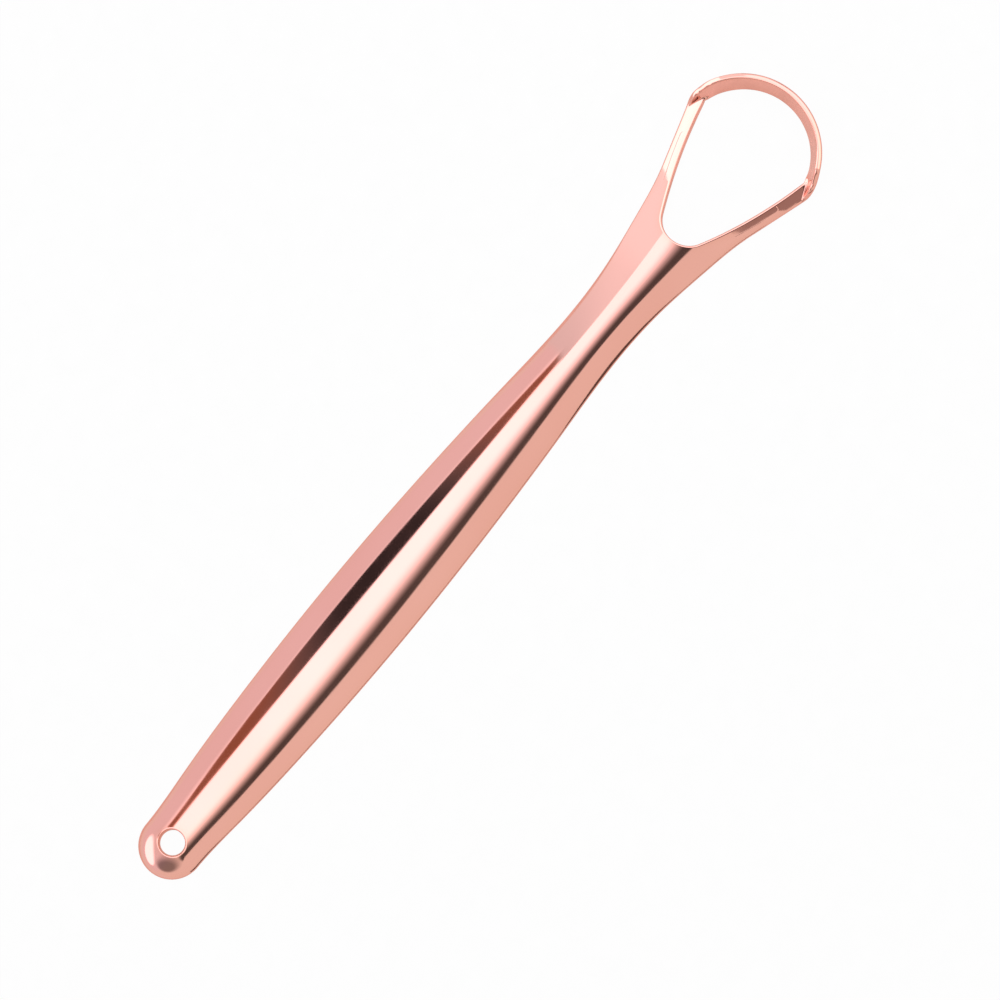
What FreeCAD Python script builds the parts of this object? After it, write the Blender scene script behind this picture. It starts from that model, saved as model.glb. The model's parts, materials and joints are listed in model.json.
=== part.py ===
"""Tongue scraper pressed from one sheet of steel: a channel handle that opens into a loop.

The pressing is divided where its form changes: a domed end round the hanging hole, the arched grip,
the neck, the fork, two arms and the scraping band that is folded up at the front. X runs from the
tail to the head and Z points up, from the open underside to the crown. The origin lies under the
middle of the part, on the surface that its rim rests on.
"""
import FreeCAD
import Part
import math
import os

from FreeCAD import Vector

# Driving dimensions, in millimetres and degrees
sheet = 0.9

tail_width = 9.95
belly_width = 13.9
neck_width = 9.85
fork_width = 13.4
tail_crown = 2.7
belly_crown = 3.1
neck_crown = 2.8
fork_crown = 3.0
tail_to_belly = 52.0
belly_to_neck = 48.5
neck_to_fork = 19.5

hole_diameter = 3.8
hole_from_tail = 5.45
hole_to_grip = 3.5

loop_length = 28.0
fork_to_arms = 7.0
root_radius = 3.95
side_bow_angle = 7.0
arm_root_width = 2.42
band_radius = 11.8
band_width = 1.9
band_rise = 3.2
band_half_angle = 60.0
outer_corner_angle = 81.0
inner_corner_angle = 74.0
half_turn = 180.0

cut_overrun = 2.0
channel_stations = 32

# Fullness of the outline between the named widths: how far along each run, and how much of its change
grip_run_shares = (0.2, 0.5)
grip_fullness_shares = (0.31, 0.75)
waist_run_shares = (0.5, 0.74)
waist_fullness_shares = (0.33, 0.66)
flare_run_shares = (0.54,)
flare_fullness_shares = (0.24,)

# How much of the fork's arch the arms keep at places along them, and where the crease meets their edge
arm_run_shares = (0.0, 0.25, 0.5, 0.75, 1.0, 1.25)
arm_arch_shares = (0.86, 0.88, 0.92, 0.95, 0.97, 0.97)
crease_share = 0.84

# Sections of the folded corners: their places, how high each is folded and how much of the crease's slant is left
corner_inner_shares = (0.25, 0.6)
corner_outer_shares = (0.0, 0.45)
corner_rise_shares = (0.8, 0.97)
corner_slant_shares = (0.5, 0.1)

# Seams of the neck, and the rounding of the cut edge in the fork
grip_seam_share = 0.74
neck_seam_share = 0.62
cut_edge_share = 0.35

# Derived sizes and places, with X counted from the middle of the part
overall_length = tail_to_belly + belly_to_neck + neck_to_fork + loop_length
rim_radius = sheet / 2
tail_x = -overall_length / 2
tail_centre_x = tail_x + tail_width / 2
hole_x = tail_x + hole_from_tail
grip_x = hole_x + hole_diameter / 2 + hole_to_grip
belly_x = tail_x + tail_to_belly
neck_x = belly_x + belly_to_neck
fork_x = neck_x + neck_to_fork
arms_x = fork_x + fork_to_arms
front_x = fork_x + loop_length
band_centre_x = front_x - band_radius
band_inner_radius = band_radius - band_width
tallest = max(tail_crown, belly_crown, neck_crown, fork_crown, sheet + band_rise)


def between(low, high, share):
    """The value that lies the given share of the way from low to high."""
    return low + (high - low) * share


def on_band(radius, angle):
    """A point in plan on a circle round the centre of the scraping band."""
    turn = math.radians(angle)
    return Vector(band_centre_x + radius * math.cos(turn), radius * math.sin(turn), 0)


def opening_side():
    """The left side of the loop opening in plan: a bowed arc, tangent to the round root.

    The arc meets its chord at the bow angle, so the chord passes the root's centre at the root's
    radius times the cosine of that angle. It returns the start, the end, the centre and the radius.
    """
    bow = math.radians(side_bow_angle)
    root = Vector(fork_x + root_radius, 0, 0)
    end = on_band(band_inner_radius, inner_corner_angle)
    reach = end - root
    heading = math.atan2(reach.y, reach.x) - math.asin(root_radius * math.cos(bow) / reach.Length)
    inward = Vector(math.sin(heading + bow), -math.cos(heading + bow), 0)
    start = root - inward * root_radius
    radius = (end - start).Length / (2 * math.sin(bow))
    return start, end, start + inward * radius, radius


def opening_half_width(x):
    """Half the width of the loop opening where its bowed sides cross the plane at x."""
    start, end, centre, radius = opening_side()
    return centre.y + math.sqrt(radius ** 2 - (x - centre.x) ** 2)


arms_inner_y = opening_half_width(arms_x)
arms_outer_y = arms_inner_y + arm_root_width
arm_root = Vector(arms_x, arms_outer_y, 0)
outer_corner = on_band(band_radius, outer_corner_angle)
crease_outer = between(arm_root, outer_corner, crease_share)
crease_inner = on_band(band_inner_radius, inner_corner_angle)


def arch(half_width, crown):
    """Radius, centre height and half angle of the arc that the middle of the sheet follows."""
    span = half_width - rim_radius
    rise = crown - sheet
    radius = (span ** 2 + rise ** 2) / (2 * rise)
    return radius, rim_radius + rise - radius, math.asin(span / radius)


def arch_point(x, centre_z, radius, angle):
    """A point at an angle from the crown on a circle of the channel's cross-section."""
    return Vector(x, radius * math.sin(angle), centre_z + radius * math.cos(angle))


def rim_tip(x, centre_z, radius, angle):
    """The outermost point of the rounded rim, half a sheet beyond the end of the middle arc."""
    turn = math.copysign(math.pi / 2, angle)
    step = Vector(0, math.sin(angle + turn), math.cos(angle + turn)) * rim_radius
    return arch_point(x, centre_z, radius, angle) + step


def channel_section(x, half_width, crown):
    """Closed cross-section of the channel: two concentric arcs joined by full round rims."""
    radius, z, angle = arch(half_width, crown)
    outer = radius + rim_radius
    inner = radius - rim_radius
    left = (arch_point(x, z, outer, angle), arch_point(x, z, inner, angle))
    right = (arch_point(x, z, outer, -angle), arch_point(x, z, inner, -angle))
    arcs = (
        Part.Arc(right[0], arch_point(x, z, outer, 0), left[0]),
        Part.Arc(left[0], rim_tip(x, z, radius, angle), left[1]),
        Part.Arc(left[1], arch_point(x, z, inner, 0), right[1]),
        Part.Arc(right[1], rim_tip(x, z, radius, -angle), right[0]),
    )
    return Part.Wire([arc.toShape() for arc in arcs])


def rail_run(start, end, run_shares, fullness_shares):
    """The start of a run along the handle, and the points that shape it before its end."""
    shaped = []
    for run, fullness in zip(run_shares, fullness_shares):
        along = between(start.x, end.x, run)
        shaped.append(Vector(along, between(start.y, end.y, fullness), between(start.z, end.z, fullness)))
    return [start] + shaped


def channel_rail():
    """A spline whose coordinates are the X, the half width and the crown height of the handle."""
    tail = Vector(tail_centre_x, tail_width / 2, tail_crown)
    belly = Vector(belly_x, belly_width / 2, belly_crown)
    neck = Vector(neck_x, neck_width / 2, neck_crown)
    flare = Vector(fork_x, fork_width / 2, fork_crown)
    points = rail_run(tail, belly, grip_run_shares, grip_fullness_shares)
    points += rail_run(belly, neck, waist_run_shares, waist_fullness_shares)
    points += rail_run(neck, flare, flare_run_shares, flare_fullness_shares)
    points.append(flare)
    for run, kept in zip(arm_run_shares, arm_arch_shares):
        edge = between(arm_root, outer_corner, run)
        points.append(Vector(edge.x, edge.y, between(sheet, fork_crown, kept)))
    rail = Part.BSplineCurve()
    rail.interpolate(
        Points=points,
        InitialTangent=Vector(1, 0, 0),
        FinalTangent=(outer_corner - arm_root).normalize(),
    )
    return rail


def channel():
    """The whole channel from the tail's centre past the ends of the arms, with nothing cut from it."""
    stations = channel_rail().discretize(Number=channel_stations)
    return Part.makeLoft([channel_section(p.x, p.y, p.z) for p in stations], True, False)


def slab(low_x, high_x):
    """A block across the part between two planes square to X."""
    width = 2 * (band_radius + cut_overrun)
    height = tallest + 2 * cut_overrun
    return Part.makeBox(high_x - low_x, width, height, Vector(low_x, -width / 2, -cut_overrun))


def tail_dome():
    """The round end: half of the channel's section turned through a half circle."""
    radius, z, angle = arch(tail_width / 2, tail_crown)
    outer = radius + rim_radius
    inner = radius - rim_radius
    x = tail_centre_x
    top = arch_point(x, z, outer, 0)
    under = arch_point(x, z, inner, 0)
    rim_top = arch_point(x, z, outer, angle)
    rim_under = arch_point(x, z, inner, angle)
    edges = (
        Part.Arc(top, arch_point(x, z, outer, angle / 2), rim_top),
        Part.Arc(rim_top, rim_tip(x, z, radius, angle), rim_under),
        Part.Arc(rim_under, arch_point(x, z, inner, angle / 2), under),
        Part.LineSegment(under, top),
    )
    profile = Part.Face(Part.Wire([edge.toShape() for edge in edges]))
    return profile.revolve(Vector(x, 0, 0), Vector(0, 0, 1), half_turn)


def hanging_hole():
    """The punch for the hanging hole, from below the rim to above the crown."""
    base = Vector(hole_x, 0, -cut_overrun)
    return Part.makeCylinder(hole_diameter / 2, tallest + 2 * cut_overrun, base)


def opening_punch():
    """The punch for the loop opening behind the band: a round root and two bowed sides."""
    start, end, centre, radius = opening_side()
    middle = centre + ((start + end) / 2 - centre).normalize() * radius
    other_start, other_middle, other_end = (Vector(p.x, -p.y, 0) for p in (start, middle, end))
    edges = (
        Part.Arc(other_start, Vector(fork_x, 0, 0), start),
        Part.Arc(start, middle, end),
        Part.LineSegment(end, other_end),
        Part.Arc(other_end, other_middle, other_start),
    )
    profile = Part.Face(Part.Wire([edge.toShape() for edge in edges]))
    profile.translate(Vector(0, 0, -cut_overrun))
    return profile.extrude(Vector(0, 0, tallest + 2 * cut_overrun))


def strip_section(inner, outer, inner_z, outer_z):
    """Cross-section of the loop's strip: flat faces and full round edges.

    inner and outer are the plan places of its two edges, and the heights are those of the middle
    of the sheet at the centres of the round edges.
    """
    across = (outer - inner).normalize()
    low = inner + across * rim_radius + Vector(0, 0, inner_z)
    high = outer - across * rim_radius + Vector(0, 0, outer_z)
    along = (high - low).normalize()
    normal = Vector(-across.x * along.z, -across.y * along.z, across.dot(along)) * rim_radius
    edges = (
        Part.LineSegment(low + normal, high + normal),
        Part.Arc(high + normal, high + along * rim_radius, high - normal),
        Part.LineSegment(high - normal, low - normal),
        Part.Arc(low - normal, low - along * rim_radius, low + normal),
    )
    return Part.Wire([edge.toShape() for edge in edges])


def crease_slant():
    """How much higher the arch holds the inner end of the crease than its outer end."""
    run = (crease_inner.x - arm_root.x) / (outer_corner.x - arm_root.x)
    edge = between(arm_root, outer_corner, run)
    radius, z, angle = arch(edge.y, between(sheet, fork_crown, arm_arch_shares[-1]))
    across = crease_inner + (crease_outer - crease_inner).normalize() * rim_radius
    return z + math.sqrt(radius ** 2 - across.y ** 2) - rim_radius


def crease_section():
    """The slanting section where the sloping arm ends and the folded band begins."""
    return strip_section(crease_inner, crease_outer, rim_radius + crease_slant(), rim_radius)


def band_section(angle):
    """The section of the folded band on a radius, with its outer edge raised."""
    inner = on_band(band_inner_radius, angle)
    outer = on_band(band_radius, angle)
    return strip_section(inner, outer, rim_radius, rim_radius + band_rise)


def band_corner():
    """The left corner, where the strip folds up from the crease into the band."""
    sections = [crease_section()]
    for inward, outward, rise, slant in zip(
        corner_inner_shares, corner_outer_shares, corner_rise_shares, corner_slant_shares
    ):
        inner = on_band(band_inner_radius, between(inner_corner_angle, band_half_angle, inward))
        outer = on_band(band_radius, between(outer_corner_angle, band_half_angle, outward))
        low = rim_radius + crease_slant() * slant
        sections.append(strip_section(inner, outer, low, rim_radius + band_rise * rise))
    return Part.makeLoft(sections + [band_section(band_half_angle)], True, False)


def mirrored(shape):
    """The same shape on the other side of the part's middle plane."""
    return shape.mirror(Vector(0, 0, 0), Vector(0, 1, 0))


def hanging_end(whole_channel):
    """The domed end with its hanging hole."""
    start_of_channel = whole_channel.common(slab(tail_x, grip_x))
    return tail_dome().fuse(start_of_channel).cut(hanging_hole())


def front_blank():
    """Everything in front of the two creases, where the band takes over from the arms."""
    outward = (crease_outer - crease_inner).normalize()
    beyond = crease_outer + outward * band_radius
    far = Vector(front_x + cut_overrun, beyond.y, 0)
    left_side = [crease_inner, beyond, far]
    right_side = [Vector(p.x, -p.y, 0) for p in reversed(left_side)]
    profile = Part.Face(Part.makePolygon(left_side + right_side + [crease_inner]))
    profile.translate(Vector(0, 0, -cut_overrun))
    return profile.extrude(Vector(0, 0, tallest + 2 * cut_overrun))


def loop_root(whole_channel, start_x):
    """The flared end of the channel up to the creases, with the opening cut out and its edge rounded."""
    punch = opening_punch()
    flared = whole_channel.common(slab(start_x, front_x)).cut(punch).cut(front_blank())
    wall = flared.common(punch.Shells[0])
    rounded = [edge for edge in flared.Edges if is_cut_edge(edge, wall)]
    return flared.makeFillet(sheet * cut_edge_share, rounded)


def is_cut_edge(edge, wall):
    """Whether an edge runs round the cut wall, and is not one of its upright ends."""
    middle = edge.valueAt((edge.FirstParameter + edge.LastParameter) / 2)
    on_wall = wall.distToShape(Part.Vertex(middle))[0] < sheet * cut_edge_share / 100
    return on_wall and edge.BoundBox.ZLength < edge.Length / 2


def scraping_band():
    """The folded arc across the front, with a corner at each end."""
    start = Part.Face(band_section(-band_half_angle))
    arc = start.revolve(Vector(band_centre_x, 0, 0), Vector(0, 0, 1), 2 * band_half_angle)
    corner = band_corner()
    return arc.fuse([corner, mirrored(corner)])


whole = channel()
grip_end_x = between(belly_x, neck_x, grip_seam_share)
neck_end_x = between(neck_x, fork_x, neck_seam_share)
root = loop_root(whole, neck_end_x)
arms = sorted(root.common(slab(arms_x, front_x)).Solids, key=lambda solid: solid.CenterOfMass.y)

nodes = {
    "hanging_end": hanging_end(whole),
    "handle_grip": whole.common(slab(grip_x, grip_end_x)),
    "neck": whole.common(slab(grip_end_x, neck_end_x)),
    "fork": root.common(slab(neck_end_x, arms_x)),
    "left_arm": arms[-1],
    "right_arm": arms[0],
    "scraping_band": scraping_band(),
}

os.makedirs("parts", exist_ok=True)
for name, shape in nodes.items():
    print(name, len(shape.Solids), "solid, valid", shape.isValid(), "volume %.2f mm3" % shape.Volume)
    shape.exportStep("parts/%s.step" % name)
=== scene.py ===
# %% [markdown]
# # A tongue scraper pressed from one sheet of steel
# The real object is one strip of stainless sheet. It is blanked, pressed into an arched channel, pierced
# for a peg, opened into a loop and folded up at the front, then polished and plated in rose gold.
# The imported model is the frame: it fixes where each stretch of the pressing begins and ends, and how
# large the whole is. Everything below is worked out in millimetres and put into the meshes in metres.

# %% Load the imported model
import json

import bpy
import numpy as np
from mathutils import Matrix, Vector


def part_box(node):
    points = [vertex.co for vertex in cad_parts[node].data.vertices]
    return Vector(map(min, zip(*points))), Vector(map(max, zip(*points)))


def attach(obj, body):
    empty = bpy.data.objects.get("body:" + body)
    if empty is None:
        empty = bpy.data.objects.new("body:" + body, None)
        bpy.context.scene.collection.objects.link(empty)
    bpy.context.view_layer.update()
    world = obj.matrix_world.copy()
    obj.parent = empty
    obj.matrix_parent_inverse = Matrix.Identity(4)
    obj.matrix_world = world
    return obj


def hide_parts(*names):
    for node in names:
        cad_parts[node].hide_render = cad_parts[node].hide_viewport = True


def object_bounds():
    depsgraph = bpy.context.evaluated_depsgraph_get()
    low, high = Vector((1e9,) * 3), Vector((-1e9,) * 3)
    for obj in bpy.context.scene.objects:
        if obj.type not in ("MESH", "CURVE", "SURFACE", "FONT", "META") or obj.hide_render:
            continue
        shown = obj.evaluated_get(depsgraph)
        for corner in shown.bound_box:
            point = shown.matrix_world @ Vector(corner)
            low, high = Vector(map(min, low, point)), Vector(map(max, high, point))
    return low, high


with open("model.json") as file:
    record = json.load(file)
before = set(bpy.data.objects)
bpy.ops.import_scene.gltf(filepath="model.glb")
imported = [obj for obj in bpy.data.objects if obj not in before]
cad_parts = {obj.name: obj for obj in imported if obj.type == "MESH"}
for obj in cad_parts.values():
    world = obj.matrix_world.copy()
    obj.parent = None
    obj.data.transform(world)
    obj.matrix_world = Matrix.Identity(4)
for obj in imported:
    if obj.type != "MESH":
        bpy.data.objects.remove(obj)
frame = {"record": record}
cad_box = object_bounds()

MM = 0.001


def box_mm(node):
    """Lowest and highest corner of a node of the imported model, in millimetres."""
    low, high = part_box(node)
    return np.array(low) / MM, np.array(high) / MM


print("packed model, mm:", [[round(v / MM, 2) for v in corner] for corner in cad_box])

# %% [markdown]
# ## Sizes
# The seams between the stretches and the hanging hole come from the frame. The widths, the heights of the
# crown and the radii of the loop are the pressing's own driving sizes, repeated here because the meshes
# follow the same curves as the solids.

# %% Sizes of the pressing
sheet = 0.9
rim = sheet / 2

tail_x = cad_box[0].x / MM
front_x = cad_box[1].x / MM
grip_x = box_mm("handle_grip")[0][0]
neck_start_x = box_mm("neck")[0][0]
fork_start_x = box_mm("fork")[0][0]
arms_x = box_mm("left_arm")[0][0]
hole = frame["record"]["mounts"][0]
hole_centre = np.array(hole["pos_m"][:2]) / MM
hole_radius = hole["dims"]["r_mm"]

loop_length = 28.0
fork_x = front_x - loop_length
root_radius = 3.95
side_bow = np.radians(7.0)
arm_root_width = 2.42
band_radius = 11.8
band_width = 1.9
band_rise = 3.15
outer_corner_angle = np.radians(81.0)
inner_corner_angle = np.radians(74.0)
band_half_angle = np.radians(60.0)
crease_share = 0.84
corner_rounding = 4.0
edge_clearance = 0.04

band_centre = np.array([front_x - band_radius - edge_clearance, 0.0])
root_centre = np.array([fork_x + root_radius, 0.0])
band_inner_radius = band_radius - band_width
print("seams at x, mm:", [round(x, 2) for x in (grip_x, neck_start_x, fork_start_x, arms_x)])

# %% [markdown]
# ## The outline of the loop in plan
# The opening of the loop has a round root and two bowed sides that reach the inner edge of the band.
# A spline through traced points could copy it, but a press tool is made of arcs and lines, so it is
# worked out from its radii, and stays smooth at any resolution.

# %% Arcs and lines of the loop


def spoke(angle):
    """The unit vector at an angle from the X axis."""
    return np.stack([np.cos(angle), np.sin(angle)], axis=-1)


def opening_side():
    """Centre and radius of the arc along the opening's left side, and the angle where it leaves the root.

    The arc is tangent to the root circle, ends at the band's inner corner and meets its chord at the
    bow angle.
    """
    end = band_centre + band_inner_radius * spoke(inner_corner_angle)
    reach = end - root_centre
    distance = np.hypot(*reach)
    heading = np.arctan2(reach[1], reach[0]) - np.arcsin(root_radius * np.cos(side_bow) / distance)
    inward = spoke(heading + side_bow - np.pi / 2)
    start = root_centre - inward * root_radius
    radius = np.hypot(*(end - start)) / (2 * np.sin(side_bow))
    return start + inward * radius, radius, heading + side_bow + np.pi / 2


side_centre, side_radius, root_turn = opening_side()
arm_root_inner = side_centre[1] + np.sqrt(side_radius ** 2 - (arms_x - side_centre[0]) ** 2)
arm_root = np.array([arms_x, arm_root_inner + arm_root_width])
outer_corner = band_centre + band_radius * spoke(outer_corner_angle)
arm_heading = np.arctan2(*(outer_corner - arm_root)[::-1])
arm_slope = np.tan(arm_heading)
crease_inner = band_centre + band_inner_radius * spoke(inner_corner_angle)
crease_outer = arm_root + (outer_corner - arm_root) * crease_share
print("opening side radius %.1f mm, arms head out at %.1f degrees" % (side_radius, np.degrees(arm_heading)))

# %% [markdown]
# ## The outline of the handle
# Seen from above, the handle swells from the round tail to a full belly, draws in to a slim neck and
# flares into the fork. Its crown rises and falls with it. Both are one smooth cubic through a few
# stations, which is how a lofted pressing is drawn: each station is a section, and the skin runs
# through all of them.

# %% Half width and crown of the pressing along its length


def shaped_run(start, end, along_shares, change_shares):
    """The start of a run and its stations: x moves by the first share, the sizes by the second."""
    along = np.array(along_shares)[:, None]
    change = np.array(change_shares)[:, None]
    return np.vstack([start, start + (end - start) * np.hstack([along, change, change])])


def smooth_curve(knots, values, first_slope, last_slope):
    """A cubic through all values, whose curvature is the same on both sides of each inner knot."""
    gaps = np.diff(knots)
    steps = np.diff(values) / gaps
    matrix = np.eye(len(knots))
    inner = np.arange(1, len(knots) - 1)
    matrix[inner, inner - 1] = gaps[1:]
    matrix[inner, inner] = 2 * (gaps[:-1] + gaps[1:])
    matrix[inner, inner + 1] = gaps[:-1]
    wanted = np.array([first_slope, *(3 * (gaps[1:] * steps[:-1] + gaps[:-1] * steps[1:])), last_slope])
    slopes = np.linalg.solve(matrix, wanted)

    def at(x):
        left = np.clip(np.searchsorted(knots, x) - 1, 0, len(gaps) - 1)
        gap = gaps[left]
        t = np.clip((x - knots[left]) / gap, 0, 1)
        start_part = (1 + 2 * t) * (1 - t) ** 2 * values[left] + t * (1 - t) ** 2 * gap * slopes[left]
        end_part = t ** 2 * (3 - 2 * t) * values[left + 1] + t ** 2 * (t - 1) * gap * slopes[left + 1]
        return start_part + end_part

    return at


tail = np.array([tail_x + 4.975, 4.975, 2.7])
belly = np.array([tail_x + 52.0, 6.95, 3.1])
neck = np.array([tail_x + 100.5, 4.925, 2.8])
flare = np.array([fork_x, 6.7, 3.0])
arm_run_shares = np.array([0.0, 0.25, 0.5, 0.75, 1.0, 1.25, 1.5])
arm_arch_shares = np.array([0.86, 0.88, 0.92, 0.95, 0.97, 0.4, 0.0])
arm_line = arm_root + (outer_corner - arm_root) * arm_run_shares[:, None]
arm_crowns = sheet + (flare[2] - sheet) * arm_arch_shares
stations = np.vstack([
    shaped_run(tail, belly, (0.2, 0.5), (0.31, 0.75)),
    shaped_run(belly, neck, (0.5, 0.74), (0.33, 0.66)),
    shaped_run(neck, flare, (0.54,), (0.24,)),
    flare,
    np.hstack([arm_line, arm_crowns[:, None]]),
])
half_width = smooth_curve(stations[:, 0], stations[:, 1], 0.0, arm_slope)
crown = smooth_curve(stations[:, 0], stations[:, 2], 0.0, 0.0)
print("stations along the handle:", len(stations))

# %% [markdown]
# ## The pressed surface
# One function gives the height of the middle of the sheet anywhere in plan. Because every stretch of the
# pressing is cut from this one surface, neighbours meet without a step, as on the real one-piece object,
# and reflections run through the seams unbroken.

# %% Height of the middle of the sheet
fold_slope = band_rise / (band_width - sheet)
fold_radius = band_inner_radius + rim
fold_softness = 0.22
fold_setback = 1.5 * fold_softness
fold_turn = np.radians(68.0)
fold_blend = np.radians(12.0)
panel_raise = 0.05
panel_width = 1.15
panel_start_x = 51.0
panel_end_x = 59.6
panel_corner = 0.7
panel_edge = 0.14


def soft_step(value):
    """0 below 0, 1 above 1 and an S curve between."""
    share = np.clip(value, 0.0, 1.0)
    return share ** 2 * (3 - 2 * share)


def arch_height(x, y):
    """A circular arch over the handle, turned about the tail's centre at the round end.

    With span s and rise h its curvature is k = 2h / (s² + h²), and at a distance r from the middle it has
    fallen by k r² / (1 + sqrt(1 - k² r²)).
    """
    along = np.maximum(x, tail[0])
    across = np.hypot(np.minimum(x - tail[0], 0.0), y)
    rise = np.maximum(crown(along) - sheet, 0.0)
    span = half_width(along) - rim
    curvature = 2 * rise / (span ** 2 + rise ** 2)
    bend = np.sqrt(np.maximum(1 - (curvature * across) ** 2, 0.0))
    return rim + rise - curvature * across ** 2 / (1 + bend)


def fold_height(x, y):
    """The turned-up front: a cone over the band, and a plane tangent to it over each corner.

    d is the distance in front of the fold line. The height is slope * d on the band, and slope times the
    soft step w ln(1 + exp(d / w)) on the corners, where the sheet bends out of the sloping arm. The second
    value says how far a place is up the fold, from 0 to 1.
    """
    ahead = x - band_centre[0]
    aside = np.abs(y)
    turn = np.arctan2(aside, ahead)
    tangent = ahead * np.cos(fold_turn) + aside * np.sin(fold_turn)
    beyond = np.where(turn < fold_turn, np.hypot(ahead, aside), tangent) - fold_radius
    on_band = soft_step((fold_turn - turn) / fold_blend + 0.5)
    soft = fold_softness * np.logaddexp(0.0, (beyond - fold_setback) / fold_softness)
    return fold_slope * (on_band * beyond + (1 - on_band) * soft), soft_step(beyond / (band_width - sheet))


def panel_height(x, y):
    """The flat that the press tool leaves on each arm beside the opening: a panel raised by a hair.

    Its edge is the rounded box whose sides lie panel_width out from the cut edge and at panel_end_x.
    """
    from_cut = np.hypot(x - side_centre[0], np.abs(y) - side_centre[1]) - side_radius
    out = from_cut - panel_width + panel_corner
    ahead = x - panel_end_x + panel_corner
    past = np.hypot(np.maximum(out, 0.0), np.maximum(ahead, 0.0)) + np.minimum(np.maximum(out, ahead), 0.0)
    start = soft_step((x - panel_start_x) / (2 * panel_corner))
    return panel_raise * start * soft_step((panel_corner - past) / panel_edge)


def bent_height(x, y):
    """Height of the middle of the bent sheet: the arch, let down where the front folds up, and the fold."""
    fold, up_the_fold = fold_height(x, y)
    return rim + (arch_height(x, y) - rim) * (1 - up_the_fold) + fold


def pressed_height(x, y):
    """Height of the middle of the sheet with the panels on the arms."""
    return bent_height(x, y) + panel_height(x, y)


def upward_normal(height, x, y):
    """Upward unit normal of a surface, from central differences of its height."""
    step = 1e-4
    slope_x = (height(x + step, y) - height(x - step, y)) / (2 * step)
    slope_y = (height(x, y + step) - height(x, y - step)) / (2 * step)
    normal = np.stack([-slope_x, -slope_y, np.ones_like(slope_x)], axis=-1)
    return normal / np.linalg.norm(normal, axis=-1, keepdims=True)


print("height of the middle at the belly %.2f mm" % pressed_height(belly[:1], np.zeros(1))[0])

# %% [markdown]
# ## Curves that bound a stretch of sheet
# A stretch of the pressing lies between two edges. Each edge is a route of arcs and lines along the centre
# of its rounded rim, and it carries the direction that leaves the sheet there, so that the rim can be
# rounded square to the edge.

# %% Routes along the rims
FINE = 400


def arc_route(centre, radius, start, end, leaving):
    """Points on an arc between two angles; leaving is 1 where the sheet ends outwards, else -1."""
    out = spoke(np.linspace(start, end, FINE))
    return np.hstack([centre + radius * out, leaving * out])


def line_route(start, end, out):
    """Points on a straight run, with one direction that leaves the sheet."""
    t = np.linspace(0, 1, FINE)[:, None]
    return np.hstack([start + (end - start) * t, np.broadcast_to(out, (FINE, 2))])


def handle_route(start_x, end_x, side):
    """The rim of the handle between two planes: half width less the rim, and the normal of that curve."""
    x = np.linspace(start_x, end_x, FINE)
    slope = (half_width(x + 0.01) - half_width(x - 0.01)) / 0.02
    out = np.stack([-slope, np.ones_like(x)], axis=-1) / np.hypot(slope, 1.0)[:, None]
    return np.stack([x, side * (half_width(x) - rim), out[:, 0], side * out[:, 1]], axis=-1)


def follow(route, count):
    """A route read at even steps of its own length."""
    run = np.concatenate([[0.0], np.cumsum(np.linalg.norm(np.diff(route[:, :2], axis=0), axis=-1))])
    wanted = np.linspace(0, run[-1], count)
    read = np.stack([np.interp(wanted, run, column) for column in route.T], axis=-1)
    read[:, 2:] /= np.linalg.norm(read[:, 2:], axis=-1, keepdims=True)
    return read


def mirrored(route):
    """The same route on the right side of the part, walked the other way."""
    return route[::-1] * np.array([1.0, -1.0, 1.0, -1.0])


# %% [markdown]
# ## From two edges to a closed plate
# A stretch could be a single surface thickened by a Solidify modifier, but that rounds no edges and tilts
# the seams. Here the plan grid between the two edges is lifted onto the pressed surface, moved half a sheet
# up and half a sheet down along the normal, and both skins are joined by round rims. Each vertex gets the
# normal of the surface itself, so the mirror finish stays as smooth as the formula.

# %% Build one stretch of sheet
RIM_STEPS = 10


def rounded_edge(points, normals, out, weight, square):
    """The rim from the upper skin to the lower one, as a half superellipse across the sheet.

    Its point at an angle a is B + r (w C cos(a)^(2/n) + N sin(a)^(2/n)), where C leaves the sheet in the
    surface, N is the normal, n the squareness and w is 0 where a seam stays flat. The angles are chosen so
    that the points lie at even turns round B: tan(a) = tan(turn)^(n/2).
    """
    power = 2 / np.broadcast_to(square, len(points))[:, None]
    plan = np.concatenate([out, np.zeros((len(out), 1))], axis=-1)
    leave = plan - np.sum(plan * normals, axis=-1, keepdims=True) * normals
    leave /= np.linalg.norm(leave, axis=-1, keepdims=True)
    turn = np.linspace(np.pi / 2, -np.pi / 2, RIM_STEPS + 1)[1:-1]
    angle = np.sign(turn) * np.arctan(np.abs(np.tan(turn)) ** (1 / power))
    cos, sin = np.cos(angle), np.sin(angle)
    reach = np.abs(cos) ** power
    lift = np.sign(sin) * np.abs(sin) ** power
    face_out = np.abs(cos) ** (2 - power)
    face_up = np.sign(sin) * np.abs(sin) ** (2 - power)
    leave, normals = leave[:, None, :], normals[:, None, :]
    places = points[:, None, :] + rim * (
        (weight[:, None] * reach)[..., None] * leave + lift[..., None] * normals)
    facing = face_out[..., None] * leave + face_up[..., None] * normals
    return places, facing / np.linalg.norm(facing, axis=-1, keepdims=True)


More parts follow.
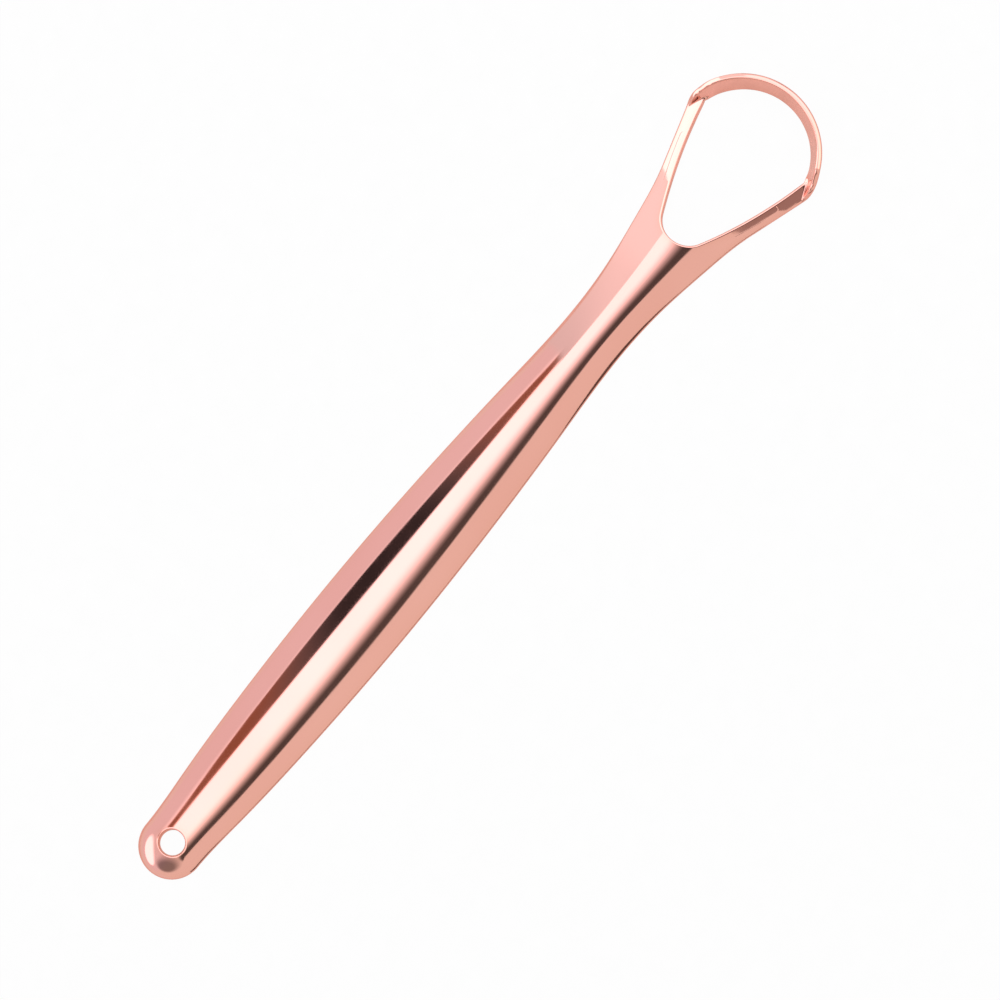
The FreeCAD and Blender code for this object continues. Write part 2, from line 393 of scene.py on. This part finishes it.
def ring_faces(count, around, rows, closed):
    """Quads between neighbouring rings, and the two end faces where the stretch isn't closed on itself."""
    index = np.arange(count * around).reshape(count, around)
    ahead = np.roll(index, -1, axis=0)
    if not closed:
        index, ahead = index[:-1], ahead[:-1]
    quads = np.stack([index, ahead, np.roll(ahead, -1, axis=1), np.roll(index, -1, axis=1)], axis=-1)
    faces = quads.reshape(-1, 4).tolist()
    if not closed:
        first = np.arange(around)
        upper, lower = first[:rows], first[rows + RIM_STEPS - 1:2 * rows + RIM_STEPS - 1][::-1]
        caps = np.stack([upper[:-1], upper[1:], lower[1:], lower[:-1]], axis=-1).tolist()
        caps.append(first[rows - 1:rows + RIM_STEPS].tolist())
        caps.append(np.append(first[2 * rows + RIM_STEPS - 2:], 0).tolist())
        last = (count - 1) * around
        faces += caps + [[v + last for v in reversed(cap)] for cap in caps]
    return faces


def plate(name, node, inner, outer, rows, inner_rim=None, outer_rim=None, inner_square=2.0,
          outer_square=2.0, closed=False):
    """A closed stretch of sheet between two routes: rings of upper skin, rim, lower skin and rim.

    The plan point at a share q between the routes is inner + (outer - inner) q, and the two skins lie half
    a sheet above and below the pressed surface there. They are moved along the normal of the bent sheet,
    because the panels' steep edges would fold the skins, and shaded with the normal of the pressed one.
    """
    count = len(inner)
    inner_rim = np.ones(count) if inner_rim is None else inner_rim
    outer_rim = np.ones(count) if outer_rim is None else outer_rim
    q = np.linspace(0, 1, rows)[None, :, None]
    plan = inner[:, None, :2] + (outer[:, None, :2] - inner[:, None, :2]) * q
    x, y = plan[..., 0], plan[..., 1]
    middle = np.stack([x, y, pressed_height(x, y)], axis=-1)
    normal = upward_normal(bent_height, x, y)
    shading = upward_normal(pressed_height, x, y)
    far, far_facing = rounded_edge(middle[:, -1], normal[:, -1], outer[:, 2:], outer_rim, outer_square)
    near, near_facing = rounded_edge(middle[:, 0], normal[:, 0], inner[:, 2:], inner_rim, inner_square)
    rings = np.concatenate(
        [middle + rim * normal, far, (middle - rim * normal)[:, ::-1], near[:, ::-1]], axis=1)
    facing = np.concatenate([shading, far_facing, -shading[:, ::-1], near_facing[:, ::-1]], axis=1)
    width = np.linalg.norm(outer[:, :2] - inner[:, :2], axis=-1)[:, None]
    from_edge = np.minimum(
        np.where(inner_rim[:, None] > 0, q[..., 0] * width, width),
        np.where(outer_rim[:, None] > 0, (1 - q[..., 0]) * width, width))
    on_skin = np.exp(-from_edge / rim)
    on_rim = np.ones((count, RIM_STEPS - 1))
    edge = np.concatenate([on_skin, on_rim, on_skin[:, ::-1], on_rim], axis=1)
    faces = ring_faces(count, rings.shape[1], rows, closed)
    along = plan[1:, 1:] - plan[:-1, 1:]
    across = plan[1:, 1:] - plan[1:, :-1]
    turn = np.sum(along[..., 0] * across[..., 1] - along[..., 1] * across[..., 0])
    if turn < 0:
        faces = [face[::-1] for face in faces]
    mesh = bpy.data.meshes.new(name)
    mesh.from_pydata((rings.reshape(-1, 3) * MM).tolist(), [], faces)
    mesh.polygons.foreach_set("use_smooth", np.ones(len(mesh.polygons), bool))
    mesh.normals_split_custom_set_from_vertices(facing.reshape(-1, 3).tolist())
    mesh.attributes.new("edge", "FLOAT", "POINT").data.foreach_set("value", edge.ravel().astype(np.float32))
    piece = bpy.data.objects.new(name, mesh)
    bpy.context.scene.collection.objects.link(piece)
    piece.data.materials.append(rose_gold)
    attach(piece, "root")
    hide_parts(node)
    triangles = sum(len(face) - 2 for face in faces)
    print("%s: %d vertices, %d triangles" % (name, len(mesh.vertices), triangles))
    return piece


# %% [markdown]
# ## Rose gold plating
# The plating is a few microns of gold and copper over mirror-polished steel. A flat metal colour would
# look like paint, so the colour drifts a little, the rims are a little deeper in colour, and faint
# polishing lines run along the handle. Two node groups hold these effects.

# %% Helpers for node trees


def place(tree, kind, **inputs):
    """Adds a node; sockets are linked and plain values are set, by input name with _ for a space."""
    node = tree.nodes.new(kind)
    for key, value in inputs.items():
        socket = node.inputs[key.replace("_", " ")]
        if isinstance(value, bpy.types.NodeSocket):
            tree.links.new(value, socket)
        else:
            socket.default_value = value
    return node


def math(tree, operation, *values):
    """Adds a Math node and returns its output; each value is a socket or a number."""
    node = tree.nodes.new("ShaderNodeMath")
    node.operation = operation
    for socket, value in zip(node.inputs, values):
        if isinstance(value, bpy.types.NodeSocket):
            tree.links.new(value, socket)
        else:
            socket.default_value = value
    return node.outputs[0]


def rise_between(tree, value, low, high, smooth=True):
    """0 below low, 1 above high and an S curve between."""
    node = place(tree, "ShaderNodeMapRange", Value=value, From_Min=low, From_Max=high)
    node.interpolation_type = "SMOOTHSTEP" if smooth else "LINEAR"
    return node.outputs["Result"]


def new_group(name, inputs, outputs):
    """A shader node group with named sockets; returns the tree, its input node and its output node."""
    tree = bpy.data.node_groups.new(name, "ShaderNodeTree")
    for socket_name, kind in inputs:
        tree.interface.new_socket(socket_name, in_out="INPUT", socket_type=kind)
    for socket_name, kind in outputs:
        tree.interface.new_socket(socket_name, in_out="OUTPUT", socket_type=kind)
    return tree, tree.nodes.new("NodeGroupInput"), tree.nodes.new("NodeGroupOutput")


# %% Groups for the plating


def polishing_group():
    """Lines of the polishing wheel along X, and a cloudy smudge, both from stretched noise."""
    tree, given, put = new_group(
        "polishing marks",
        [("Place", "NodeSocketVector"), ("Clear", "NodeSocketFloat"), ("Hazy", "NodeSocketFloat")],
        [("Lines", "NodeSocketFloat"), ("Roughness", "NodeSocketFloat")])
    along = place(tree, "ShaderNodeMapping", Vector=given.outputs["Place"], Scale=(60.0, 4000.0, 4000.0))
    lines = place(tree, "ShaderNodeTexNoise", Vector=along.outputs[0], Scale=1.0, Detail=2.0)
    cloud = place(tree, "ShaderNodeTexNoise", Vector=given.outputs["Place"], Scale=160.0, Detail=3.0)
    haze = rise_between(tree, cloud.outputs["Fac"], 0.35, 0.7)
    spread = math(tree, "SUBTRACT", given.outputs["Hazy"], given.outputs["Clear"])
    rough = math(tree, "MULTIPLY_ADD", haze, spread, given.outputs["Clear"])
    tree.links.new(lines.outputs["Fac"], put.inputs["Lines"])
    tree.links.new(rough, put.inputs["Roughness"])
    return tree


def plating_group():
    """Colour of the plating: a slow drift between two tones, deeper by a share at the rims."""
    tree, given, put = new_group(
        "plating tone",
        [("Place", "NodeSocketVector"), ("Edge", "NodeSocketFloat"), ("Light", "NodeSocketColor"),
         ("Deep", "NodeSocketColor"), ("Rim", "NodeSocketColor")],
        [("Color", "NodeSocketColor")])
    drift = place(tree, "ShaderNodeTexNoise", Vector=given.outputs["Place"], Scale=45.0, Detail=2.0)
    tone = place(tree, "ShaderNodeMix")
    tone.data_type = "RGBA"
    tree.links.new(rise_between(tree, drift.outputs["Fac"], 0.3, 0.7), tone.inputs[0])
    tree.links.new(given.outputs["Light"], tone.inputs[6])
    tree.links.new(given.outputs["Deep"], tone.inputs[7])
    # The rims are mixed half way towards a deeper colour.
    deeper_at_rims = place(tree, "ShaderNodeMix")
    deeper_at_rims.data_type = "RGBA"
    tree.links.new(math(tree, "MULTIPLY", given.outputs["Edge"], 0.5), deeper_at_rims.inputs[0])
    tree.links.new(tone.outputs[2], deeper_at_rims.inputs[6])
    tree.links.new(given.outputs["Rim"], deeper_at_rims.inputs[7])
    tree.links.new(deeper_at_rims.outputs[2], put.inputs["Color"])
    return tree


polishing = polishing_group()
plating = plating_group()
print("groups:", polishing.name, "and", plating.name)

# %% The plated metal


def rose_gold_metal():
    """Mirror metal with the plating's colour, a trace of haze and very fine polishing lines."""
    material = bpy.data.materials.new("rose_gold_plating")
    material.use_nodes = True
    tree = material.node_tree
    metal = tree.nodes["Principled BSDF"]
    metal.inputs["Metallic"].default_value = 1.0
    where = tree.nodes.new("ShaderNodeTexCoord").outputs["Object"]
    edge = tree.nodes.new("ShaderNodeAttribute")
    edge.attribute_name = "edge"
    tone = tree.nodes.new("ShaderNodeGroup")
    tone.node_tree = plating
    tone.inputs["Light"].default_value = (0.93, 0.48, 0.41, 1.0)
    tone.inputs["Deep"].default_value = (0.91, 0.455, 0.385, 1.0)
    tone.inputs["Rim"].default_value = (0.88, 0.43, 0.34, 1.0)
    marks = tree.nodes.new("ShaderNodeGroup")
    marks.node_tree = polishing
    marks.inputs["Clear"].default_value = 0.06
    marks.inputs["Hazy"].default_value = 0.09
    bump = place(tree, "ShaderNodeBump", Strength=0.1, Distance=0.00001, Height=marks.outputs["Lines"])
    tree.links.new(where, tone.inputs["Place"])
    tree.links.new(where, marks.inputs["Place"])
    tree.links.new(edge.outputs["Fac"], tone.inputs["Edge"])
    tree.links.new(tone.outputs["Color"], metal.inputs["Base Color"])
    tree.links.new(marks.outputs["Roughness"], metal.inputs["Roughness"])
    tree.links.new(bump.outputs["Normal"], metal.inputs["Normal"])
    return material


rose_gold = rose_gold_metal()
print("material:", rose_gold.name)

# %% [markdown]
# ## The hanging end
# The tail is a shallow dome with a round hole for a peg. The grid runs round the hole: its inner edge is
# the hole and its outer edge is the seam to the grip, the two sides and the half circle of the tail. The
# hole was pierced, so its edge is squarer than the rolled rims.

# %% Hanging end


def hanging_end():
    """A ring-shaped grid from the hole to the outline, with a flat seam towards the grip."""
    seam_count, side_count, end_count = 40, 50, 100
    seam_y = half_width(np.array([grip_x]))[0] - rim
    corner = np.array([grip_x, seam_y])
    forward = np.array([1.0, 0.0])
    seam = follow(line_route(corner * (1, -1), corner, forward), seam_count)
    left = follow(handle_route(grip_x, tail[0], 1), side_count)
    end = follow(arc_route(tail[:2] * (1, 0), tail[1] - rim, np.pi / 2, 3 * np.pi / 2, 1), end_count)
    outer = np.vstack([seam[1:-1], left, end[1:-1], mirrored(left)])
    weight = np.ones(len(outer))
    weight[:seam_count - 2] = 0.0
    from_hole = outer[:, :2] - hole_centre
    turn = np.unwrap(np.arctan2(from_hole[:, 1], from_hole[:, 0]))
    inner = np.hstack([hole_centre + (hole_radius + rim) * spoke(turn), -spoke(turn)])
    return plate("plated_hanging_end", "hanging_end", inner, outer, 26, outer_rim=weight, inner_square=7.0,
                 closed=True)


hanging_end()

# %% [markdown]
# ## The grip and the neck
# These two stretches are plain channel, so the grid is the simplest one: from the right rim to the left
# rim at each station along the handle.

# %% Grip and neck


def channel_stretch(name, node, start_x, end_x, count):
    """A rectangular grid between the right and the left rim of the handle."""
    inner = follow(handle_route(start_x, end_x, -1), count)
    outer = follow(handle_route(start_x, end_x, 1), count)
    return plate(name, node, inner, outer, 48)


channel_stretch("plated_grip", "handle_grip", grip_x, neck_start_x, 220)
channel_stretch("plated_neck", "neck", neck_start_x, fork_start_x, 90)

# %% [markdown]
# ## The fork
# Here the channel opens round the root of the loop. A horseshoe grid runs round the cut: from the left
# arm, back along the seam to the neck, and out to the right arm. The cut edge is square with rounded
# corners.

# %% Fork
CUT_SQUARENESS = 4.5


def side_route(start_x, end_x):
    """The left cut edge of the opening between two planes, on the bowed arc moved out by the rim."""
    radius = side_radius + rim
    start = np.arccos((start_x - side_centre[0]) / radius)
    end = np.arccos((end_x - side_centre[0]) / radius)
    return arc_route(side_centre, radius, start, end, -1)


def fork():
    """A grid between the cut edge of the opening and the outline, with a flat seam towards the neck."""
    side_count, seam_count = 70, 70
    turn_x = root_centre[0] + (root_radius + rim) * np.cos(root_turn)
    side = follow(side_route(arms_x, turn_x), side_count)
    round_root = follow(
        arc_route(root_centre, root_radius + rim, root_turn, 2 * np.pi - root_turn, -1), seam_count)
    inner = np.vstack([side[:-1], round_root, mirrored(side)[1:]])
    left = follow(handle_route(arms_x, fork_start_x, 1), side_count)
    corner = left[-1, :2]
    seam = follow(line_route(corner, corner * (1, -1), np.array([-1.0, 0.0])), seam_count)
    outer = np.vstack([left, seam[1:-1], mirrored(left)])
    weight = np.ones(len(outer))
    weight[side_count:side_count + seam_count - 2] = 0.0
    return plate("plated_fork", "fork", inner, outer, 44, outer_rim=weight, inner_square=CUT_SQUARENESS)


fork()

# %% [markdown]
# ## The arms and the scraping band
# In front of the fork the sheet is one narrow strip: two arms that spread, a crease on each, and the band
# folded up between them. All three are slices of one strip between the cut edge and the outer outline,
# and the fold is in the surface itself.

# %% Arms
STRIP_ROWS = 40


def corner_fillet():
    """Centre of the arc that rounds the outer corner, tangent to the arm's line and to the band's circle."""
    out = spoke(arm_heading + np.pi / 2)
    reach = band_radius - corner_rounding
    gap = (-corner_rounding - out @ (band_centre - arm_root)) / reach
    angle = arm_heading + np.pi / 2 - np.arccos(gap)
    return band_centre + reach * spoke(angle), angle


fillet_centre, fillet_angle = corner_fillet()
line_out = spoke(arm_heading + np.pi / 2)
side_end_turn = np.arctan2(*(crease_inner - side_centre)[::-1])


def crease_start_turn():
    """The angle on the rim's arc, as wide as the side's radius and the rim, at which the crease crosses it.

    A point t along the crease from its inner end lies on that arc where t² + 2bt = R² - r², with b the
    crease's share of the way out from the side's centre, R the rim's arc and r the side's.
    """
    way = (crease_outer - crease_inner) / np.linalg.norm(crease_outer - crease_inner)
    out = (crease_inner - side_centre) @ way
    reach = np.sqrt(out ** 2 + (side_radius + rim) ** 2 - side_radius ** 2) - out
    return np.arctan2(*(crease_inner + reach * way - side_centre)[::-1])


crease_turn = crease_start_turn()


def left_arm_routes():
    """Inner and outer rim of the left arm, from the fork to the crease."""
    start = np.arccos((arms_x - side_centre[0]) / (side_radius + rim))
    inner = arc_route(side_centre, side_radius + rim, start, crease_turn, -1)
    outer = line_route(arm_root - rim * line_out, crease_outer - rim * line_out, line_out)
    outer[0, 0] = arms_x
    return inner, outer


def arm_plate(name, node, routes, count=130):
    """An arm as a grid between its two rims."""
    inner, outer = (follow(route, count) for route in routes)
    return plate(name, node, inner, outer, STRIP_ROWS, inner_square=CUT_SQUARENESS)


left_routes = left_arm_routes()
arm_plate("plated_left_arm", "left_arm", left_routes)
arm_plate("plated_right_arm", "right_arm", [mirrored(route) for route in left_routes])

# %% Scraping band


def corner_routes():
    """Inner and outer rim of the left corner, from the crease to the start of the even arc."""
    inner = np.vstack([
        arc_route(side_centre, side_radius + rim, crease_turn, side_end_turn, -1),
        arc_route(crease_inner, rim, side_end_turn, inner_corner_angle, -1),
        arc_route(band_centre, band_inner_radius + rim, inner_corner_angle, band_half_angle, -1)])
    fillet_start = fillet_centre + (corner_rounding - rim) * line_out
    outer = np.vstack([
        line_route(crease_outer - rim * line_out, fillet_start, line_out),
        arc_route(fillet_centre, corner_rounding - rim, arm_heading + np.pi / 2, fillet_angle, 1),
        arc_route(band_centre, band_radius - rim, fillet_angle, band_half_angle, 1)])
    return inner, outer


def scraping_band():
    """A strip from crease to crease: corner, even arc and corner, folded up by the pressed surface.

    Its rims start as square or round as the arms' and change through the corners.
    """
    corner_count, arc_count = 110, 200
    arcs = [
        arc_route(band_centre, radius, band_half_angle, -band_half_angle, leaving)
        for radius, leaving in ((band_inner_radius + rim, -1), (band_radius - rim, 1))]
    rims = []
    for corner, even in zip(corner_routes(), arcs):
        left = follow(corner, corner_count)
        rims.append(np.vstack([left[:-1], follow(even, arc_count), mirrored(left)[1:]]))
    ease = soft_step(np.arange(corner_count) / corner_count)
    on_band = np.concatenate([ease[:-1], np.ones(arc_count), ease[-2::-1]])
    return plate("plated_band", "scraping_band", rims[0], rims[1], STRIP_ROWS,
                 inner_square=CUT_SQUARENESS + (2.0 - CUT_SQUARENESS) * on_band, outer_square=2.0 + on_band)


scraping_band()

# %% [markdown]
# ## Floor
# The scraper lies on a pale table. The floor is nearly white and glows a little towards the camera and in
# reflections, which gives a white ground and keeps the soft contact shadow.

# %% Floor


def pale_floor():
    """Matt white with a faint mottle, mixed with plain light for rays that show the floor.

    The light is white for the camera. Mirrors see it warmer, because near the part most of it has already
    bounced off the plating.
    """
    material = bpy.data.materials.new("pale_table")
    material.use_nodes = True
    tree = material.node_tree
    tree.nodes.clear()
    where = tree.nodes.new("ShaderNodeTexCoord").outputs["Object"]
    mottle = place(tree, "ShaderNodeTexNoise", Vector=where, Scale=300.0)
    shade = rise_between(tree, mottle.outputs["Fac"], -1.2, 1.7)
    matt = place(tree, "ShaderNodeBsdfDiffuse", Color=shade)
    path = tree.nodes.new("ShaderNodeLightPath")
    tint = place(tree, "ShaderNodeMix")
    tint.data_type = "RGBA"
    tint.inputs[6].default_value = (1.0, 1.0, 1.0, 1.0)
    tint.inputs[7].default_value = (1.0, 0.78, 0.66, 1.0)
    tree.links.new(path.outputs["Is Glossy Ray"], tint.inputs[0])
    glow = place(tree, "ShaderNodeEmission", Color=tint.outputs[2], Strength=1.0)
    mirrored_share = math(tree, "MULTIPLY", path.outputs["Is Glossy Ray"], 0.5)
    seen = math(tree, "MAXIMUM", path.outputs["Is Camera Ray"], path.outputs["Is Transmission Ray"])
    seen = math(tree, "MAXIMUM", seen, mirrored_share)
    mixed = place(tree, "ShaderNodeMixShader", Fac=math(tree, "MULTIPLY", seen, 0.97))
    tree.links.new(matt.outputs[0], mixed.inputs[1])
    tree.links.new(glow.outputs[0], mixed.inputs[2])
    put = tree.nodes.new("ShaderNodeOutputMaterial")
    tree.links.new(mixed.outputs[0], put.inputs["Surface"])
    return material


def level_square(name, reach, height, material):
    """A square, level and centred over the part; reach and height are in metres."""
    corners = np.array([[-1, -1], [1, -1], [1, 1], [-1, 1]]) * reach
    mesh = bpy.data.meshes.new(name)
    mesh.from_pydata(np.hstack([corners, np.full((4, 1), height)]).tolist(), [], [[0, 1, 2, 3]])
    mesh.materials.append(material)
    square = bpy.data.objects.new(name, mesh)
    bpy.context.scene.collection.objects.link(square)
    return square


level_square("table_top", 10.0, 0.0, pale_floor())

# %% [markdown]
# ## Studio light
# A mirror shows its surroundings, so the light is drawn as the ceiling of a small product studio: a long
# soft panel overhead, pale cloth on both sides, a dark gap to the right of the panel and, to its left, the
# dark disc of a hood. Lamps could do it, but their edges are hard, and a world that depends on direction
# alone shows the same picture at both ends of the handle. A ceiling close above the part gives the
# reflections their true drift along it. The camera doesn't see it.

# %% Ceiling
CEILING_HEIGHT = 200.0
CEILING_REACH = 1200.0
PANEL_LIGHT = 1.95
CLOTH_LIGHT = 0.87
GAP_LIGHT = 0.09


def inside_oval(tree, x, y, centre, reach, soft):
    """1 inside an oval on the ceiling and 0 outside; soft is the share of its reach over which it fades."""
    across = math(tree, "DIVIDE", math(tree, "SUBTRACT", x, centre[0]), reach[0])
    along = math(tree, "DIVIDE", math(tree, "SUBTRACT", y, centre[1]), reach[1])
    squared = math(tree, "MULTIPLY_ADD", across, across, math(tree, "MULTIPLY", along, along))
    away = math(tree, "SQRT", squared)
    return math(tree, "SUBTRACT", 1.0, rise_between(tree, away, 1.0 - soft, 1.0 + soft))


def toward(tree, light, level, share):
    """Light moved towards a level by a share."""
    return math(tree, "MULTIPLY_ADD", math(tree, "SUBTRACT", level, light), share, light)


def ceiling_light(tree, x, y):
    """Brightness of the ceiling at a place in millimetres, and the share of warm brown light in it.

    The panel and the gap run askew to the handle. The hood is black in the middle and gives warm brown light
    at its sides.
    """
    askew = math(tree, "MULTIPLY_ADD", x, -0.48, y)
    panel = rise_between(tree, askew, -88.0, 18.0)
    light = math(tree, "MULTIPLY_ADD", panel, PANEL_LIGHT - GAP_LIGHT, GAP_LIGHT)
    light = toward(tree, CLOTH_LIGHT, light, rise_between(tree, askew, -126.0, -116.0))
    light = toward(tree, light, CLOTH_LIGHT, rise_between(tree, y, 75.0, 250.0))
    light = toward(tree, CLOTH_LIGHT, light, rise_between(tree, x, -150.0, -110.0))
    light = toward(tree, light, PANEL_LIGHT, inside_oval(tree, x, y, (215.0, -20.0), (105.0, 190.0), 0.25))
    light = toward(tree, light, PANEL_LIGHT, inside_oval(tree, x, y, (-500.0, 310.0), (350.0, 220.0), 0.12))
    light = toward(tree, light, 0.26, inside_oval(tree, x, y, (-360.0, -95.0), (200.0, 135.0), 0.4))
    hood = inside_oval(tree, x, y, (-27.0, 146.0), (67.0, 62.0), 0.1)
    beside = rise_between(tree, math(tree, "ABSOLUTE", math(tree, "ADD", x, 20.0)), 10.0, 45.0)
    light = toward(tree, light, toward(tree, 0.035, 0.3, beside), hood)
    return light, math(tree, "MULTIPLY", hood, beside)


def ceiling_cloth():
    """Plain light whose strength is the ceiling's drawing."""
    material = bpy.data.materials.new("studio_ceiling")
    material.use_nodes = True
    tree = material.node_tree
    tree.nodes.clear()
    where = tree.nodes.new("ShaderNodeTexCoord").outputs["Object"]
    in_mm = place(tree, "ShaderNodeMapping", Vector=where, Scale=(1 / MM, 1 / MM, 1 / MM)).outputs[0]
    parts = place(tree, "ShaderNodeSeparateXYZ", Vector=in_mm).outputs
    tint = place(tree, "ShaderNodeMix")
    tint.data_type = "RGBA"
    tint.inputs[6].default_value = (1.0, 0.98, 0.92, 1.0)
    tint.inputs[7].default_value = (1.0, 0.96, 1.03, 1.0)
    tree.links.new(rise_between(tree, parts["Y"], -140.0, 20.0), tint.inputs[0])
    light, warm_fringe = ceiling_light(tree, parts["X"], parts["Y"])
    # Warm brown light at the sides of the hood, seen only in reflections.
    fringe_tint = place(tree, "ShaderNodeMix")
    fringe_tint.data_type = "RGBA"
    fringe_tint.inputs[7].default_value = (1.0, 0.45, 0.28, 1.0)
    tree.links.new(warm_fringe, fringe_tint.inputs[0])
    tree.links.new(tint.outputs[2], fringe_tint.inputs[6])
    glow = place(tree, "ShaderNodeEmission", Color=fringe_tint.outputs[2], Strength=light)
    put = tree.nodes.new("ShaderNodeOutputMaterial")
    tree.links.new(glow.outputs[0], put.inputs["Surface"])
    return material


def ceiling():
    """A square card above the part that only reflections and the floor's light know of."""
    card = level_square("studio_ceiling", CEILING_REACH * MM, CEILING_HEIGHT * MM, ceiling_cloth())
    card.visible_camera = False
    return card


ceiling()

# %% [markdown]
# ## Cards beside the part
# The steep flanks of the fork and the arms mirror what stands low beside them, which a ceiling can't give.
# So a few upright cards stand there, as they do in product photography: a white one by the left arm, a pink
# one behind it for the fork, a brown one by the right arm and a dark rail along the handle. Only mirrors
# show them, so they don't dim the table.

# %% Cards


def card_light(name, color, strength, rear_strength=None, fade=(0.0, 1.0)):
    """Light of a small card: even, or rising from the rear strength between two places along X."""
    material = bpy.data.materials.new(name)
    material.use_nodes = True
    tree = material.node_tree
    tree.nodes.clear()
    if rear_strength is not None:
        where = tree.nodes.new("ShaderNodeTexCoord").outputs["Object"]
        x = place(tree, "ShaderNodeSeparateXYZ", Vector=where).outputs["X"]
        ahead = rise_between(tree, x, fade[0] * MM, fade[1] * MM)
        strength = toward(tree, rear_strength, strength, ahead)
    glow = place(tree, "ShaderNodeEmission", Color=color, Strength=strength)
    put = tree.nodes.new("ShaderNodeOutputMaterial")
    tree.links.new(glow.outputs[0], put.inputs["Surface"])
    return material


def upright_card(name, outline, y, material):
    """A small upright card beside the part, drawn by corners in X and Z, that only mirrors show."""
    corners = np.insert(np.array(outline), 1, y, axis=1)
    mesh = bpy.data.meshes.new(name)
    mesh.from_pydata((corners * MM).tolist(), [], [list(range(len(corners)))])
    mesh.materials.append(material)
    card = bpy.data.objects.new(name, mesh)
    bpy.context.scene.collection.objects.link(card)
    card.visible_camera = False
    card.visible_diffuse = False
    card.visible_shadow = False
    return card


white = card_light("card_white", (1.0, 0.98, 1.05, 1.0), 2.2)
pink = card_light("card_pink", (0.9, 0.97, 1.03, 1.0), 1.27, 0.9, (25.0, 40.0))
brown = card_light("card_brown", (1.0, 0.85, 0.8, 1.0), 0.36)
dark = card_light("rail_dark", (1.0, 0.8, 0.7, 1.0), 0.12)
upright_card("white_card", [(51, 4), (75, 4), (75, 45), (51, 45)], 20.0, white)
upright_card("pink_card", [(25, 0), (110, 0), (110, 95), (25, 95)], 45.0, pink)
beside_arm = [(51, 12.4), (57.3, 11), (58.2, 9), (64.5, 7.8), (64.5, 18), (51, 18)]
upright_card("brown_card", beside_arm, -16.0, brown)
upright_card("dark_rail", [(-90, 0), (40, 0), (40, 14), (-90, 14)], -60.0, dark)

# %% [markdown]
# ## World
# The rest of the room is even light. A strength of 1 towards the camera keeps the picture white past the
# floor, and more light there would only wash the part out.

# %% World


def studio_world():
    """Even light from the sides of the studio, and white where the camera looks past the floor."""
    world = bpy.data.worlds.new("studio")
    world.use_nodes = True
    tree = world.node_tree
    path = tree.nodes.new("ShaderNodeLightPath")
    seen = math(tree, "MAXIMUM", path.outputs["Is Camera Ray"], path.outputs["Is Transmission Ray"])
    tree.links.new(math(tree, "MAXIMUM", seen, CLOTH_LIGHT), tree.nodes["Background"].inputs["Strength"])
    tree.nodes["Background"].inputs["Color"].default_value = (1.0, 1.0, 1.0, 1.0)
    return world


bpy.context.scene.world = studio_world()

# %% [markdown]
# ## Camera
# The photograph looks almost straight down, a little from the right, with the handle running from the
# lower left to the upper right.

# %% Camera
picture_right = np.array([0.6344, -0.7730, 0.0])
aim = np.array([0.66, -4.68, 0.0])
distance = 1200.0
picture_span = 146.5
sensor = 36.0
lean = np.tan(np.radians(8.0))


def camera():
    """A long lens above the part, leaning to its right side, with the picture's own right axis."""
    back = np.array([0.0, -lean, 1.0])
    back /= np.linalg.norm(back)
    right = picture_right - (picture_right @ back) * back
    right /= np.linalg.norm(right)
    up = np.cross(back, right)
    lens = bpy.data.cameras.new("camera")
    lens.sensor_width = sensor
    lens.lens = sensor * distance / picture_span
    lens.clip_start = 0.01
    lens.clip_end = 100.0
    eye = bpy.data.objects.new("camera", lens)
    bpy.context.scene.collection.objects.link(eye)
    turned = Matrix(np.column_stack([right, up, back]).tolist()).to_4x4()
    eye.matrix_world = Matrix.Translation(Vector((aim + back * distance) * MM)) @ turned
    return eye


bpy.context.scene.camera = camera()
bpy.context.scene.view_settings.view_transform = "Standard"
print("camera %.0f mm away, lens %.1f mm" % (distance, bpy.context.scene.camera.data.lens))
